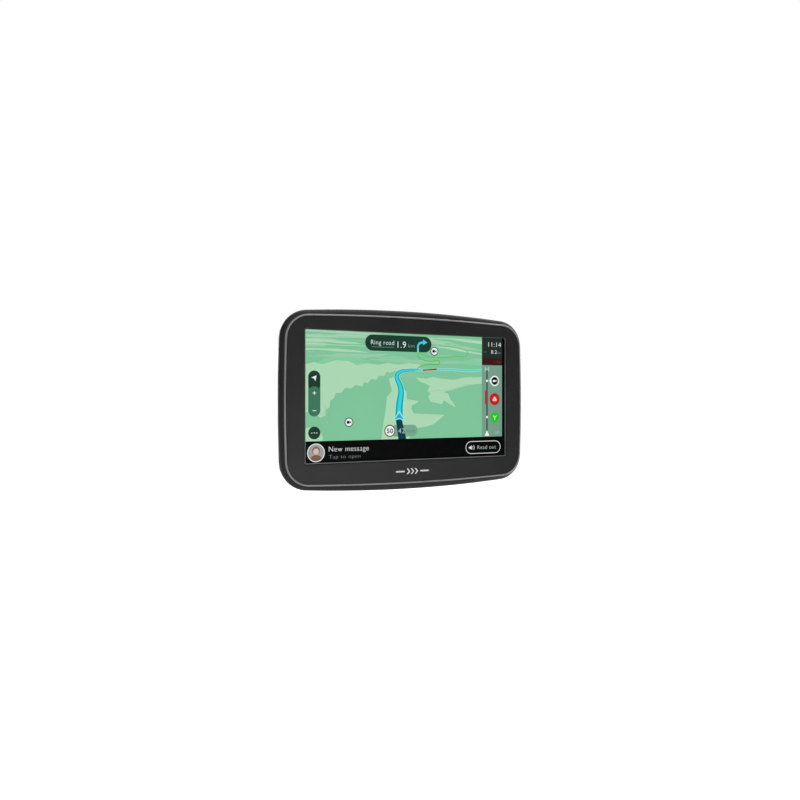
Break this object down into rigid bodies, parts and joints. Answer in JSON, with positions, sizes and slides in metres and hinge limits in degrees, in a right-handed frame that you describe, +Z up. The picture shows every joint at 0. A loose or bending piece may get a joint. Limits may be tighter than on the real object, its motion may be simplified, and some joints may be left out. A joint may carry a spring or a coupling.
{
  "type": "portable gps navigator",
  "caption": "Handheld satellite navigator with a wide touch screen in a rounded dark case, tilting on a suction-cup windscreen mount.",
  "frame": {"origin": "centre of the suction cup's face, in the plane of the glass that it is pressed on", "axes": "+X to the right of the screen as its user sees it, +Y from the user towards the glass, +Z up"},
  "size_m": [0.163, 0.0694, 0.1058],
  "materials": {
    "bezel_plastic": "fine matt texture",
    "trim_plastic": "satin",
    "cover_plastic": "fine matt texture",
    "button_plastic": "satin",
    "grille_plastic": "satin",
    "mount_plastic": "satin",
    "ring_plastic": "ribbed, satin",
    "cup_rubber": "smooth, soft",
    "touch_glass": "polished",
    "screen": "lit map picture",
    "guide_acrylic": "clear, diffusing",
    "led_phosphor": "cream",
    "tray_steel": "plain",
    "chassis_alloy": "die cast",
    "can_steel": "tinned",
    "board_laminate": "solder mask",
    "chip_epoxy": "moulded",
    "connector_plastic": "moulded",
    "socket_steel": "tinned",
    "mic_metal": "gold plated",
    "switch_plastic": "moulded",
    "plunger_plastic": "moulded",
    "aerial_ceramic": "fired ceramic with a silvered top",
    "pad_silicone": "soft",
    "ribbon_film": "polyimide film",
    "battery_foil": "laminated foil",
    "tape": "adhesive tape",
    "lead_vinyl": "vinyl sleeve",
    "speaker_steel": "pressed",
    "magnet": "coated",
    "cone_paper": "coated paper",
    "gasket_foam": "foam",
    "mesh_cloth": "woven",
    "screw_steel": "zinc plated",
    "washer_nylon": "plain",
    "stem_plastic": "moulded",
    "pin_steel": "ground"
  },
  "bodies": {
    "mount": {"mount_bail": "mount_plastic", "bail_screws": "screw_steel", "cup_housing": "mount_plastic", "suction_cup": "cup_rubber"},
    "lock_ring_body": {"lock_ring": "ring_plastic"},
    "stem": {"cup_stem": "stem_plastic", "cross_pin": "pin_steel"},
    "navigator": {"front_bezel": "bezel_plastic", "trim_ring": "trim_plastic", "rear_cover": "cover_plastic", "case_screws": "screw_steel", "window_gasket": "gasket_foam", "touch_panel": "touch_glass", "touch_ribbon": "ribbon_film", "lcd_panel": "screen", "light_guide": "guide_acrylic", "led_bar": "led_phosphor", "lcd_tray": "tray_steel", "lcd_ribbon": "ribbon_film", "chassis": "chassis_alloy", "main_board": "board_laminate", "board_screws": "screw_steel", "board_chips": "chip_epoxy", "shield_cans": "can_steel", "thermal_pad": "pad_silicone", "aerial": "aerial_ceramic", "board_connectors": "connector_plastic", "usb_socket": "socket_steel", "card_socket": "socket_steel", "microphone": "mic_metal", "power_switch": "switch_plastic", "reset_switch": "switch_plastic", "battery": "battery_foil", "battery_tape": "tape", "battery_lead": "lead_vinyl", "speaker_frame": "speaker_steel", "speaker_magnet": "magnet", "speaker_cone": "cone_paper", "speaker_gasket": "gasket_foam", "speaker_lead": "lead_vinyl", "speaker_mesh": "mesh_cloth", "speaker_grille": "grille_plastic", "pivot_screws": "screw_steel", "friction_washers": "washer_nylon"},
    "power_key": {"power_button": "button_plastic", "power_plunger": "plunger_plastic"},
    "reset_key": {"reset_plunger": "plunger_plastic"}
  },
  "joints": [
    {"name": "screen_tilt", "type": "hinge", "parent": "mount", "child": "navigator", "pos_m": [0, -0.0482, 0], "axis": [1, 0, 0], "range_deg": [-50, 50]},
    {"name": "lock_ring_turn", "type": "hinge", "parent": "mount", "child": "lock_ring_body", "pos_m": [0, 0, 0], "axis": [0, 1, 0], "range_deg": [0, 90]},
    {"name": "stem_release", "type": "slide", "parent": "mount", "child": "stem", "axis": [0, 1, 0], "range_m": [0, 0.002], "deforming": ["suction_cup"]},
    {"name": "power_press", "type": "slide", "parent": "navigator", "child": "power_key", "axis": [0, 0, -1], "range_m": [0, 0.0004], "stiffness_N_per_m": 2500, "springref_m": -0.0004},
    {"name": "reset_press", "type": "slide", "parent": "navigator", "child": "reset_key", "axis": [0, 0, 1], "range_m": [0, 0.00025], "stiffness_N_per_m": 3000, "springref_m": -0.0003}
  ],
  "couplings": [
    {"joint": "stem_release", "follows": "lock_ring_turn", "m_per_rad": 0.001273}
  ]
}
